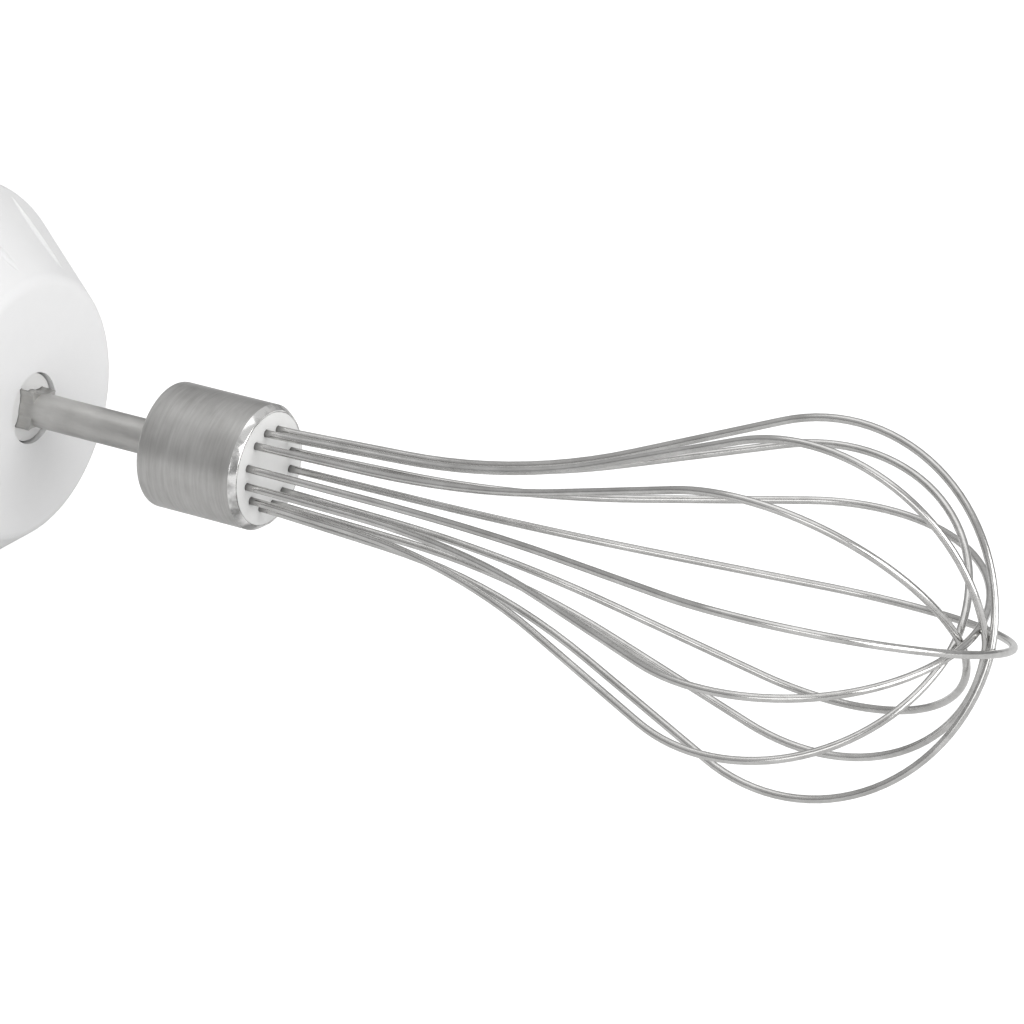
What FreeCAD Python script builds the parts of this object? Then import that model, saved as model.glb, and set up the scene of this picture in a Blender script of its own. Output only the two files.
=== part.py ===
import FreeCAD, Part
import Sketcher
import math
import os
import re

# In-line hand mixer with one balloon whisk, lying on a table. Millimetres, +Z up.
#
# The mixer's own line is the whisk axis, along +X. Every piece is drawn from the middle of the
# gear head's front face, with x running out to the whisk's tip and z up from the whisk axis, and is
# then placed so that the handle's flat foot has its middle at the origin, on the table.

SIZES = {
    # Where the front face stands, measured from the middle of the foot.
    "nose_to_foot": 196.0,

    # Gear head: a cone with a flat face, then a plain barrel that rests on the table.
    "nose_face_radius": 21.0,
    "nose_edge_round": 2.2,
    "nose_hole_radius": 5.84,
    "nose_hole_lip": 3.2,
    "cone_length": 17.6,
    "shoulder_radius": 33.6,
    "shoulder_round": 4.0,
    "head_length": 46.0,
    "head_wall": 2.4,
    "flute_count": 12,
    "flute_phase": 28.0,
    "flute_length": 21.0,
    "flute_width": 2.5,
    "flute_depth": 0.75,

    # Bush and drive socket.
    "boss_depth": 20.0,
    "boss_wall": 2.4,
    "bush_wall": 2.9,
    "socket_radius": 5.54,
    "socket_recess": 0.9,
    "socket_journal": 4.8,
    "slot_play": 0.1,
    "slot_depth": 9.0,
    "catch_place": 14.0,
    "catch_width": 1.0,
    "catch_play": 0.17,
    "catch_outer": 3.9,
    "running_fit": 0.06,
    "slip_fit": 0.05,
    "play": 0.2,
    "washer_width": 1.0,
    "washer_radius": 9.0,

    # Planet stage.
    "gear_module": 0.8,
    "sun_teeth": 12,
    "planet_teeth": 21,
    "tooth_thinning": 0.12,
    "gear_width": 8.0,
    "carrier_width": 5.0,
    "carrier_rim": 4.3,
    "pin_radius": 1.6,
    "ring_wall": 2.2,
    "plate_depth": 40.0,
    "plate_width": 3.0,
    "plate_hole": 6.0,
    "head_screw_circle": 27.6,
    "head_screw_radius": 1.4,
    "head_screw_cap": 2.3,
    "head_cap_height": 1.8,
    "head_web_width": 2.4,
    "screw_boss_radius": 2.5,

    # Whisk shaft, collar and insert.
    "shaft_radius": 2.83,
    "shaft_depth": 25.3,
    "shaft_chamfer": 0.8,
    "wing_turn": 28.0,
    "wing_reach": 4.27,
    "wing_root": 1.15,
    "wing_waist": 0.42,
    "wing_sink": 0.25,
    "wing_tip": 0.14,
    "wing_front": 1.6,
    "wing_depth": 8.0,
    "collar_gap": 26.6,
    "collar_length": 17.1,
    "collar_radius": 10.0,
    "collar_lip_radius": 9.27,
    "collar_lip_length": 1.08,
    "collar_bore": 9.0,
    "collar_back": 0.9,
    "collar_edge_round": 0.5,

    # Wire loops, from the insert's face.
    "wire_radius": 0.6,
    "wire_circle": 6.23,
    "wire_embed": 9.0,
    "wire_hole_play": 0.03,
    "first_tip": 119.2,
    "tip_step": 1.25,
    "neck_bend_radius": 90.0,
    "neck_angle": 2.65,
    "flare_bend_radius": 107.6,
    "flare_angle": 23.35,
    "flare_run": 24.6,
    "bulge_radius": 28.7,
    "bulge_angle": 106.25,

    # Motor.
    "bracket_play": 0.7,
    "bracket_flange": 6.0,
    "bracket_sleeve": 21.0,
    "bracket_hole": 7.0,
    "bracket_grip": 14.0,
    "can_start": 58.0,
    "can_length": 46.0,
    "can_radius": 18.0,
    "can_wall": 1.5,
    "bearing_radius": 5.0,
    "bearing_width": 4.0,
    "motor_shaft_radius": 2.0,
    "motor_shaft_front": 27.2,
    "motor_shaft_rear": 125.0,
    "magnet_width": 3.2,
    "magnet_parting": 6.0,
    "armature_radius": 12.6,
    "armature_start": 67.0,
    "armature_length": 24.0,
    "armature_slots": 5,
    "armature_mouth": 1.6,
    "winding_radius": 10.5,
    "winding_circle": 8.2,
    "winding_bar_radius": 2.5,
    "winding_overhang": 4.5,
    "commutator_start": 97.0,
    "commutator_length": 6.0,
    "commutator_radius": 5.0,
    "brush_gap": 0.15,
    "brush_length": 6.5,
    "brush_width": 4.0,
    "brush_height": 5.0,
    "holder_wall": 0.8,
    "bell_width": 3.5,
    "bell_hub": 8.0,
    "bell_hub_length": 9.0,
    "fan_start": 116.0,
    "fan_length": 8.0,
    "fan_radius": 16.0,
    "fan_blades": 9,
    "fan_blade_width": 1.2,

    # Handle shells.
    "handle_wall": 2.6,
    "joint_gap": 0.3,
    "tail_start": 226.0,
    "vent_count": 6,
    "vent_width": 1.8,
    "vent_pitch": 4.2,
    "vent_height": 9.0,
    "vent_first": 113.0,
    "vent_drop": 9.0,
    "shell_screw_front": 133.0,
    "shell_screw_rear": 212.0,
    "shell_screw_side": 14.0,
    "shell_screw_radius": 1.45,
    "shell_screw_cap": 2.8,
    "shell_cap_height": 2.0,
    "shell_boss_radius": 4.2,
    "shell_cap_seat": 10.0,
    "gland_radius": 6.0,
    "gland_bore": 3.6,
    "gland_length": 9.0,
    "gland_flange": 8.6,
    "gland_flange_width": 2.0,

    # Controls on top of the handle.
    "panel_front": 122.0,
    "panel_length": 78.0,
    "panel_half_width": 9.5,
    "panel_proud": 0.4,
    "panel_depth": 1.6,
    "panel_play": 0.12,
    "turbo_place": 136.0,
    "on_place": 156.0,
    "button_half_length": 7.5,
    "button_half_width": 5.8,
    "button_play": 0.3,
    "button_proud": 2.6,
    "button_body": 6.5,
    "slider_place": 181.0,
    "slider_travel": 14.0,
    "slider_half_length": 5.0,
    "slider_half_width": 4.0,
    "slider_proud": 2.4,
    "slider_float": 0.55,
    "slider_ribs": 4,
    "slider_groove_width": 0.7,
    "slider_groove_depth": 0.6,
    "neck_half_width": 1.6,
    "board_up": 13.8,
    "board_width": 1.6,
    "board_front": 128.0,
    "board_length": 76.0,
    "board_half_width": 9.0,
    "spring_half_length": 5.0,
    "spring_thickness": 0.4,
    "spring_half_width": 2.2,
    "switch_height": 3.2,
    "switch_half_length": 6.0,
    "switch_half_width": 3.2,
    "plunger_radius": 1.4,
    "plunger_rise": 0.5,
}

# Handle sections, from the gear head back: distance behind the front face, half the width,
# half the height, and how far the section's middle lies below the whisk axis.
STATIONS = {
    "joint": (SIZES["head_length"] + SIZES["joint_gap"], 33.3, 33.3, 0.0),
    "throat": (62.0, 31.0, 32.2, 1.0),
    "neck": (90.0, 27.2, 30.2, 2.6),
    "waist": (130.0, 25.2, 28.8, 3.6),
    "grip": (172.0, 25.8, 29.4, 4.2),
    "heel": (208.0, 27.0, 30.6, 4.0),
    "tail": (229.0, 25.4, 28.6, 4.2),
    "crown": (239.0, 21.0, 23.6, 4.4),
    "end": (243.5, 14.0, 16.0, 4.6),
}
for station, measures in STATIONS.items():
    for word, measure in zip(("back", "width", "height", "drop"), measures):
        SIZES[station + "_" + word] = measure

# How each loop is bent: the turn of its plane about the whisk axis, the lean of its plane, how much
# more or less than the common shape it flares (all in degrees), and its place in the nest of tips.
LOOPS = {
    1: (65.1, -0.7, -0.1, 4),
    2: (95.8, -1.1, -1.4, 3),
    3: (32.9, 0.2, 0.05, 0),
    4: (5.9, 0.8, 0.25, 2),
    5: (124.0, 0.06, -0.2, 1),
    6: (158.8, -0.06, 1.4, 5),
}
for number, (turn, lean, flare, nest) in LOOPS.items():
    SIZES["loop_%d_turn" % number] = turn
    SIZES["loop_%d_lean" % number] = lean
    SIZES["loop_%d_flare" % number] = flare

SECTION_POINTS = 24
SEAM_ANGLE = math.radians(70.0)
PRESSURE_ANGLE = math.radians(20.0)
PLANETS = 3
FIRST_PLANET = 90.0

doc = FreeCAD.newDocument("hand_mixer")
sheet = doc.addObject("Spreadsheet::Sheet", "sizes")
for row, (alias, number) in enumerate(SIZES.items(), start=1):
    sheet.set("A%d" % row, alias)
    sheet.set("B%d" % row, str(number))
    sheet.setAlias("B%d" % row, alias)
doc.recompute()

ALIASES = re.compile(r"\b(%s)\b" % "|".join(sorted(SIZES, key=len, reverse=True)))
nodes = []


# ---- small helpers ------------------------------------------------------------------------------

def bound(text):
    """The same expression with each size read from the sheet."""
    return ALIASES.sub(r"sizes.\1", text)


def size(text):
    """The value, in millimetres or degrees, of an expression on the sheet's sizes."""
    return float(sheet.evalExpression(bound(text)))


def bind(item, **expressions):
    for prop, text in expressions.items():
        item.setExpression(prop.replace("__", "."), bound(text))


def group(name, *items):
    item = doc.addObject("Part::Compound", name)
    item.Links = list(items)
    return item


def node(item, label):
    """Puts a finished sub-part in its place on the table and lists it for export."""
    if item.TypeId in ("Part::Box", "Part::Cylinder", "Part::Feature"):
        item.Label = label + "_form"
        item = group(label + "_placed", item)
    item.Label = label
    bind(item, Placement__Base__x="nose_to_foot", Placement__Base__z="shoulder_radius")
    nodes.append(item)
    return item


def box(name, low, high):
    item = doc.addObject("Part::Box", name)
    edges = ["(%s) - (%s)" % (b, a) for a, b in zip(low, high)]
    bind(item, Length=edges[0], Width=edges[1], Height=edges[2])
    bind(item, Placement__Base__x=low[0], Placement__Base__y=low[1], Placement__Base__z=low[2])
    return item


TURNS = {
    "X": FreeCAD.Rotation(FreeCAD.Vector(0, 1, 0), 90),
    "Y": FreeCAD.Rotation(FreeCAD.Vector(1, 0, 0), -90),
    "Z": FreeCAD.Rotation(),
}


def rod(name, radius, foot, length, along="X"):
    item = doc.addObject("Part::Cylinder", name)
    item.Placement = FreeCAD.Placement(FreeCAD.Vector(), TURNS[along])
    bind(item, Radius=radius, Height=length)
    bind(item, Placement__Base__x=foot[0], Placement__Base__y=foot[1], Placement__Base__z=foot[2])
    return item


def solid(name, shape):
    item = doc.addObject("Part::Feature", name)
    item.Shape = shape
    return item


def fuse(name, *items):
    if len(items) == 1:
        return items[0]
    item = doc.addObject("Part::MultiFuse", name)
    item.Shapes = list(items)
    return item


def cut(name, base, *tools):
    item = doc.addObject("Part::Cut", name)
    item.Base = base
    item.Tool = fuse(name + "_tools", *tools)
    return item


def common(name, first, second):
    item = doc.addObject("Part::Common", name)
    item.Base = first
    item.Tool = second
    return item


def turned(name, corners):
    """A body turned about the whisk axis, from its half section as (x, radius) corners."""
    body = doc.addObject("PartDesign::Body", name)
    sketch = body.newObject("Sketcher::SketchObject", name + "_section")
    plane = next(item for item in body.Origin.OriginFeatures if item.Role == "XZ_Plane")
    sketch.AttachmentSupport = [(plane, "")]
    sketch.MapMode = "FlatFace"
    points = [FreeCAD.Vector(size(along), size(out), 0) for along, out in corners]
    count = len(points)
    for index in range(count):
        sketch.addGeometry(Part.LineSegment(points[index], points[(index + 1) % count]))
    for index in range(count):
        sketch.addConstraint(Sketcher.Constraint("Coincident", index, 2, (index + 1) % count, 1))
    for index, corner in enumerate(corners):
        for kind, text in zip(("DistanceX", "DistanceY"), corner):
            held = sketch.addConstraint(Sketcher.Constraint(kind, -1, 1, index, 1, size(text)))
            sketch.setExpression("Constraints[%d]" % held, bound(text))
    turn = body.newObject("PartDesign::Revolution", name + "_turn")
    turn.Profile = sketch
    turn.ReferenceAxis = (sketch, ["H_Axis"])
    turn.Angle = 360
    doc.recompute()
    return body


def round_rim(body, name, along, out, radius):
    """Rounds the circular edge of a turned body that lies at (along, out)."""
    base = body.Tip
    names = []
    for index, edge in enumerate(base.Shape.Edges, start=1):
        if not isinstance(edge.Curve, Part.Circle):
            continue
        near = abs(edge.Curve.Center.x - size(along)) < 0.01
        if near and abs(edge.Curve.Radius - size(out)) < 0.01:
            names.append("Edge%d" % index)
    fillet = body.newObject("PartDesign::Fillet", name)
    fillet.Base = (base, names)
    bind(fillet, Radius=radius)
    body.Tip = fillet
    doc.recompute()


def ring(name, inner, outer, start, length):
    return turned(name, (
        (start, inner),
        ("(%s) + (%s)" % (start, length), inner),
        ("(%s) + (%s)" % (start, length), outer),
        (start, outer),
    ))


def around(count, first=0.0):
    """Angles, in radians, of `count` places spaced evenly about the whisk axis."""
    return [math.radians(first) + 2 * math.pi * index / count for index in range(count)]


def spun(shape, angle):
    copy = shape.copy()
    copy.rotate(FreeCAD.Vector(), FreeCAD.Vector(1, 0, 0), math.degrees(angle))
    return copy


# ---- gear head ----------------------------------------------------------------------------------

SLOPE = "((shoulder_radius - nose_face_radius) / cone_length)"
SLANT_WALL = "(head_wall * sqrt(1 + %s ^ 2))" % SLOPE
HEAD_BORE = "(shoulder_radius - head_wall)"


def flute_shape():
    """A leaf: pointed at both ends, lying along the cone, deepest at its middle."""
    length = size("flute_length")
    width = size("flute_width") / 2
    half = length / 2
    arc = Part.Arc(FreeCAD.Vector(-half, 0, 0), FreeCAD.Vector(0, 0, width), FreeCAD.Vector(half, 0, 0))
    chord = Part.LineSegment(FreeCAD.Vector(half, 0, 0), FreeCAD.Vector(-half, 0, 0))
    face = Part.Face(Part.Wire([arc.toShape(), chord.toShape()]))
    leaf = face.revolve(FreeCAD.Vector(), FreeCAD.Vector(1, 0, 0), 360)
    slope = math.atan(size(SLOPE))
    leaf.rotate(FreeCAD.Vector(), FreeCAD.Vector(0, 1, 0), math.degrees(slope))
    lift = width - size("flute_depth")
    middle = size("nose_face_radius + shoulder_radius") / 2
    leaf.translate(FreeCAD.Vector(
        size("-cone_length / 2") + lift * math.sin(slope), 0, middle + lift * math.cos(slope)))
    return leaf


def gear_head_shell():
    blank = turned("head_blank", (
        ("0", "nose_hole_radius"),
        ("0", "nose_face_radius"),
        ("-cone_length", "shoulder_radius"),
        ("-head_length", "shoulder_radius"),
        ("-head_length", HEAD_BORE),
        ("-(%s + %s - nose_face_radius) / %s" % (HEAD_BORE, SLANT_WALL, SLOPE), HEAD_BORE),
        ("-head_wall", "nose_face_radius + head_wall * %s - %s" % (SLOPE, SLANT_WALL)),
        ("-head_wall", "socket_radius + running_fit + bush_wall + boss_wall"),
        ("-boss_depth", "socket_radius + running_fit + bush_wall + boss_wall"),
        ("-boss_depth", "socket_radius + running_fit + bush_wall + slip_fit"),
        ("-nose_hole_lip", "socket_radius + running_fit + bush_wall + slip_fit"),
        ("-nose_hole_lip", "nose_hole_radius"),
    ))
    round_rim(blank, "nose_edge", "0", "nose_face_radius", "nose_edge_round")
    round_rim(blank, "shoulder_edge", "-cone_length", "shoulder_radius", "shoulder_round")
    leaf = flute_shape()
    phase = size("flute_phase")
    leaves = [spun(leaf, -angle) for angle in around(int(size("flute_count")), 90 - phase)]
    flutes = solid("flutes", Part.makeCompound(leaves))
    fluted = cut("head_fluted", blank, flutes)
    bosses = []
    pilots = []
    for index, angle in enumerate(around(PLANETS, FIRST_PLANET + 60)):
        place = (math.cos(angle), math.sin(angle))
        across = "head_screw_circle * %.9f" % place[0]
        up = "head_screw_circle * %.9f" % place[1]
        length = "plate_depth - cone_length - 8"
        bosses.append(rod("head_boss_%d" % index, "screw_boss_radius", ("-plate_depth", across, up), length))
        web = Part.makeBox(size(length), size(HEAD_BORE + " - head_screw_circle + head_wall / 2"),
                           size("head_web_width"))
        web.translate(FreeCAD.Vector(size("-plate_depth"), size("head_screw_circle"), size("-head_web_width / 2")))
        bosses.append(solid("head_web_%d" % index, spun(web, angle)))
        pilots.append(rod("head_pilot_%d" % index, "head_screw_radius + slip_fit",
                          ("-plate_depth - 1", across, up), "11"))
    bossed = fuse("head_bossed", fluted, *bosses)
    node(cut("gear_head_cut", bossed, *pilots), "gear_head_shell")


def gear_head_plate():
    blank = ring("plate_blank", "plate_hole", HEAD_BORE + " - play", "-plate_depth - plate_width", "plate_width")
    holes = [rod("plate_hole_%d" % index, "head_screw_radius + slip_fit",
                 ("-plate_depth - plate_width - 1", "head_screw_circle * %.9f" % math.cos(angle),
                  "head_screw_circle * %.9f" % math.sin(angle)), "plate_width + 2")
             for index, angle in enumerate(around(PLANETS, FIRST_PLANET + 60))]
    node(cut("plate_drilled", blank, *holes), "gear_head_plate")


def gear_head_screws():
    rear = "-plate_depth - plate_width - bracket_flange"
    parts = []
    for index, angle in enumerate(around(PLANETS, FIRST_PLANET + 60)):
        across = "head_screw_circle * %.9f" % math.cos(angle)
        up = "head_screw_circle * %.9f" % math.sin(angle)
        shank = rod("head_shank_%d" % index, "head_screw_radius", (rear, across, up),
                    "plate_width + bracket_flange + 9")
        cap = rod("head_cap_%d" % index, "head_screw_cap", (rear + " - head_cap_height", across, up),
                  "head_cap_height")
        recess = rod("head_drive_%d" % index, "head_screw_cap / 2",
                     (rear + " - head_cap_height * 1.5", across, up), "head_cap_height")
        parts.append(cut("head_screw_%d" % index, fuse("head_screw_body_%d" % index, shank, cap), recess))
    node(group("head_screw_group", *parts), "gear_head_screws")


# ---- drive: socket, carrier and planet gears ----------------------------------------------------

WASHER_BACK = "(boss_depth + play + washer_width)"
CARRIER_FRONT = "(%s + play)" % WASHER_BACK
CARRIER_BACK = "(%s + carrier_width)" % CARRIER_FRONT
GEARS_FRONT = "(%s + play)" % CARRIER_BACK
PLANET_CIRCLE = "(gear_module * (sun_teeth + planet_teeth) / 2)"


def winged_bar(name, low, high, play):
    """A bar with the section of the shaft's four crimped wings, `play` larger all round."""
    star = []
    reach = size("wing_reach") + play
    waist = (size("shaft_radius") + reach) / 2
    root = size("shaft_radius - wing_sink")
    outline = (
        (root, -size("wing_root") - play),
        (waist, -size("wing_waist") - play),
        (reach, -size("wing_tip") - play),
        (reach, size("wing_tip") + play),
        (waist, size("wing_waist") + play),
        (root, size("wing_root") + play),
    )
    for angle in around(4, size("wing_turn")):
        for radius, side in outline:
            star.append((radius * math.cos(angle) - side * math.sin(angle),
                         radius * math.sin(angle) + side * math.cos(angle)))
    corners = [FreeCAD.Vector(size(low), y, z) for y, z in star]
    section = Part.Face(Part.makePolygon(corners + corners[:1]))
    return solid(name, section.extrude(FreeCAD.Vector(size(high) - size(low), 0, 0)))


def drive_socket():
    bore = "shaft_radius + slip_fit"
    blank = turned("socket_blank", (
        ("-socket_recess", bore),
        ("-socket_recess", "socket_radius"),
        ("-" + CARRIER_FRONT, "socket_radius"),
        ("-" + CARRIER_FRONT, "socket_journal"),
        ("-" + CARRIER_BACK, "socket_journal"),
        ("-" + CARRIER_BACK, bore),
        ("-catch_place - catch_width / 2 - slip_fit", bore),
        ("-catch_place - catch_width / 2 - slip_fit", "catch_outer + slip_fit"),
        ("-catch_place + catch_width / 2 + slip_fit", "catch_outer + slip_fit"),
        ("-catch_place + catch_width / 2 + slip_fit", bore),
    ))
    slots = winged_bar("socket_slots", "-socket_recess - slot_depth", "1", size("slot_play"))
    node(cut("socket_slotted", blank, slots), "drive_socket")
    node(ring("catch_ring", "shaft_radius + catch_play", "catch_outer", "-catch_place - catch_width / 2", "catch_width"),
         "whisk_catch")
    node(ring("bush", "socket_radius + running_fit", "socket_radius + running_fit + bush_wall",
              "-boss_depth", "boss_depth - nose_hole_lip"), "socket_bush")
    node(ring("washer", "socket_radius + running_fit", "washer_radius", "-" + WASHER_BACK, "washer_width"),
         "thrust_washer")


def planet_carrier():
    disc = ring("carrier_disc", "socket_journal", PLANET_CIRCLE + " + carrier_rim", "-" + CARRIER_BACK,
                "carrier_width")
    holes = []
    pins = []
    for index, angle in enumerate(around(PLANETS, FIRST_PLANET)):
        across = "%s * %.9f" % (PLANET_CIRCLE, math.cos(angle))
        up = "%s * %.9f" % (PLANET_CIRCLE, math.sin(angle))
        holes.append(rod("carrier_hole_%d" % index, "pin_radius", ("-%s - 1" % CARRIER_BACK, across, up),
                         "carrier_width + 2"))
        pins.append(rod("pin_%d" % index, "pin_radius", ("-%s - gear_width - 0.4" % GEARS_FRONT, across, up),
                        "carrier_width + gear_width + play + 0.4"))
    node(cut("carrier_drilled", disc, *holes), "planet_carrier")
    node(group("pin_group", *pins), "planet_pins")


def involute(angle):
    return math.tan(angle) - angle


def tooth_half_angle(radius, teeth, thinning):
    """Half a tooth's angle, seen from the gear's middle, at a radius."""
    pitch = size("gear_module") * teeth / 2
    base = pitch * math.cos(PRESSURE_ANGLE)
    slant = math.acos(min(1.0, base / radius))
    return math.pi / (2 * teeth) + involute(PRESSURE_ANGLE) - involute(slant) - thinning / pitch


def gear_prism(teeth, root, tip, thinning, phase, start, length):
    """A toothed prism along x, with a tooth's middle at the angle `phase`."""
    radii = [root + (tip - root) * step / 4 for step in range(5)]
    points = []
    for index in range(teeth):
        middle = math.radians(phase) + 2 * math.pi * index / teeth
        flank = [(radius, tooth_half_angle(radius, teeth, thinning)) for radius in radii]
        for radius, half in flank:
            points.append((radius, middle - half))
        for radius, half in reversed(flank):
            points.append((radius, middle + half))
    corners = [FreeCAD.Vector(start, r * math.cos(a), r * math.sin(a)) for r, a in points]
    outline = Part.makePolygon(corners + corners[:1])
    return Part.Face(outline).extrude(FreeCAD.Vector(length, 0, 0))


def planet_stage():
    module = size("gear_module")
    sun = int(size("sun_teeth"))
    planet = int(size("planet_teeth"))
    outer = sun + 2 * planet
    thin = size("tooth_thinning")
    width = size("gear_width")
    rear = size("-%s - gear_width" % GEARS_FRONT)
    circle = size(PLANET_CIRCLE)
    for index, angle in enumerate(around(PLANETS, FIRST_PLANET), start=1):
        teeth = gear_prism(planet, module * (planet / 2 - 1.2), module * (planet / 2 + 0.9), thin,
                           math.degrees(angle), rear, width)
        bore = Part.makeCylinder(size("pin_radius + slip_fit"), width, FreeCAD.Vector(rear, 0, 0),
                                 FreeCAD.Vector(1, 0, 0))
        gear = teeth.cut(bore)
        gear.translate(FreeCAD.Vector(0, circle * math.cos(angle), circle * math.sin(angle)))
        node(solid("planet_gear_%d" % index, gear), "planet_gear_%d" % index)
    depth = size("plate_depth") + rear
    ring_length = width + depth
    teeth = gear_prism(outer, module * (outer / 2 - 0.9), module * (outer / 2 + 1.2), -thin,
                       FIRST_PLANET, rear - depth - 1, ring_length + 2)
    rim = Part.makeCylinder(size("ring_wall") + module * (outer / 2 + 1.2), ring_length,
                            FreeCAD.Vector(rear - depth, 0, 0), FreeCAD.Vector(1, 0, 0))
    node(solid("ring_gear", rim.cut(teeth)), "ring_gear")
    teeth = gear_prism(sun, module * (sun / 2 - 1.2), module * (sun / 2 + 0.9), thin,
                       FIRST_PLANET, rear, width)
    bore = Part.makeCylinder(size("motor_shaft_radius"), width, FreeCAD.Vector(rear, 0, 0),
                             FreeCAD.Vector(1, 0, 0))
    node(solid("sun_pinion", teeth.cut(bore)), "sun_pinion")


# ---- whisk --------------------------------------------------------------------------------------

COLLAR_FRONT = "(collar_gap + collar_length)"
INSERT_FACE = "(%s + collar_lip_length)" % COLLAR_FRONT


def whisk_shaft():
    crimp = winged_bar("wings", "-wing_depth", "wing_front", 0.0)
    bar = turned("shaft_bar", (
        ("-shaft_depth", "0"),
        ("-shaft_depth", "shaft_radius - shaft_chamfer"),
        ("-shaft_depth + shaft_chamfer", "shaft_radius"),
        (COLLAR_FRONT + " - collar_lip_length", "shaft_radius"),
        (COLLAR_FRONT + " - collar_lip_length", "0"),
    ))
    node(fuse("shaft_winged", bar, crimp), "whisk_shaft")


def whisk_collar():
    body = turned("collar", (
        ("collar_gap", "shaft_radius"),
        ("collar_gap", "collar_radius"),
        (COLLAR_FRONT, "collar_radius"),
        (INSERT_FACE, "collar_lip_radius"),
        (INSERT_FACE, "collar_bore"),
        ("collar_gap + collar_back", "collar_bore"),
        ("collar_gap + collar_back", "shaft_radius"),
    ))
    round_rim(body, "collar_edge", "collar_gap", "collar_radius", "collar_edge_round")
    node(body, "whisk_collar")


def loop_runs(number):
    """The corners of half a loop's outline, as ("run", end) and ("arc", middle, end) steps."""
    splay = math.radians(size("neck_angle"))
    flare = math.radians(size("flare_angle + loop_%d_flare" % number))
    bulge = math.radians(size("bulge_angle + loop_%d_flare" % number))
    reach = size("first_tip - collar_lip_length") + LOOPS[number][3] * size("tip_step")

    def trace(neck_run):
        along, out, heading = 0.0, size("wire_circle"), 0.0
        steps = []
        spans = (
            (size("neck_bend_radius"), splay, neck_run),
            (size("flare_bend_radius"), flare - splay, size("flare_run")),
            (size("bulge_radius"), -bulge, 0.0),
        )
        for radius, turn, run in spans:
            ends = []
            for part in (0.5, 1.0):
                later = heading + turn * part
                side = radius * math.copysign(1, turn)
                ends.append((along + side * (math.sin(later) - math.sin(heading)),
                             out + side * (math.cos(heading) - math.cos(later))))
            heading += turn
            along, out = ends[1]
            steps.append(("arc", ends[0], ends[1]))
            if run:
                along += run * math.cos(heading)
                out += run * math.sin(heading)
                steps.append(("run", (along, out)))
        tip = out / math.cos(heading)
        later = (heading - math.pi / 2) / 2
        end = along + tip * (math.sin(heading) + 1)
        steps.append(("arc", (along + tip * (math.sin(heading) - math.sin(later)),
                              tip * math.cos(later)), (end, 0.0)))
        return steps, end

    neck_run = 0.0
    for _ in range(4):
        neck_run += reach - trace(neck_run)[1]
    return trace(neck_run)[0]


def loop_frame(number):
    """Placement of a loop's plane: drawn in x and y, leaned about y, turned about the whisk axis."""
    lean = FreeCAD.Rotation(FreeCAD.Vector(0, 1, 0), -size("loop_%d_lean" % number))
    turn = FreeCAD.Rotation(FreeCAD.Vector(1, 0, 0), size("loop_%d_turn" % number))
    return FreeCAD.Placement(FreeCAD.Vector(size(INSERT_FACE), 0, 0), turn.multiply(lean))


def whisk_wires():
    embed = size("wire_embed")
    circle = size("wire_circle")
    for number in LOOPS:
        steps = loop_runs(number)
        edges = [Part.LineSegment(FreeCAD.Vector(-embed, circle, 0), FreeCAD.Vector(0, circle, 0)).toShape()]
        for side in (1, -1):
            here = FreeCAD.Vector(0, circle * side, 0)
            half = []
            for step in steps:
                points = [FreeCAD.Vector(along, out * side, 0) for along, out in step[1:]]
                if step[0] == "run":
                    half.append(Part.LineSegment(here, points[0]).toShape())
                else:
                    half.append(Part.Arc(here, points[0], points[1]).toShape())
                here = points[-1]
            edges.extend(half if side == 1 else reversed(half))
        edges.append(Part.LineSegment(FreeCAD.Vector(0, -circle, 0), FreeCAD.Vector(-embed, -circle, 0)).toShape())
        path = Part.Wire(Part.__sortEdges__(edges))
        rim = Part.Wire(Part.makeCircle(size("wire_radius"), FreeCAD.Vector(-embed, circle, 0),
                                        FreeCAD.Vector(1, 0, 0)))
        wire = path.makePipeShell([rim], True, True)
        print("loop", number, "wire length", round(path.Length, 1), "volume per length",
              round(wire.Volume / path.Length / (math.pi * size("wire_radius") ** 2), 4))
        wire.Placement = loop_frame(number)
        node(solid("whisk_wire_%d" % number, wire), "whisk_wire_%d" % number)


def whisk_insert():
    blank = turned("insert_blank", (
        ("collar_gap + collar_back + slip_fit", "shaft_radius + slip_fit"),
        ("collar_gap + collar_back + slip_fit", "collar_bore - slip_fit"),
        (INSERT_FACE, "collar_bore - slip_fit"),
        (INSERT_FACE, "0"),
        (COLLAR_FRONT + " - collar_lip_length + slip_fit", "0"),
        (COLLAR_FRONT + " - collar_lip_length + slip_fit", "shaft_radius + slip_fit"),
    ))
    drills = []
    for number in LOOPS:
        for side in (1, -1):
            drill = Part.makeCylinder(size("wire_radius + wire_hole_play"), size("wire_embed") + 2,
                                      FreeCAD.Vector(-size("wire_embed") - 0.1, side * size("wire_circle"), 0),
                                      FreeCAD.Vector(1, 0, 0))
            drill.Placement = loop_frame(number).multiply(drill.Placement)
            drills.append(drill)
    holes = solid("insert_holes", Part.makeCompound(drills))
    node(cut("insert_drilled", blank, holes), "whisk_insert")


# ---- motor --------------------------------------------------------------------------------------

BRACKET_FRONT = "(plate_depth + plate_width)"
BRACKET_BACK = "(%s + bracket_flange)" % BRACKET_FRONT
BRACKET_RIM = "(shoulder_radius - handle_wall - bracket_play)"
CAN_END = "(can_start + can_length)"


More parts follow.
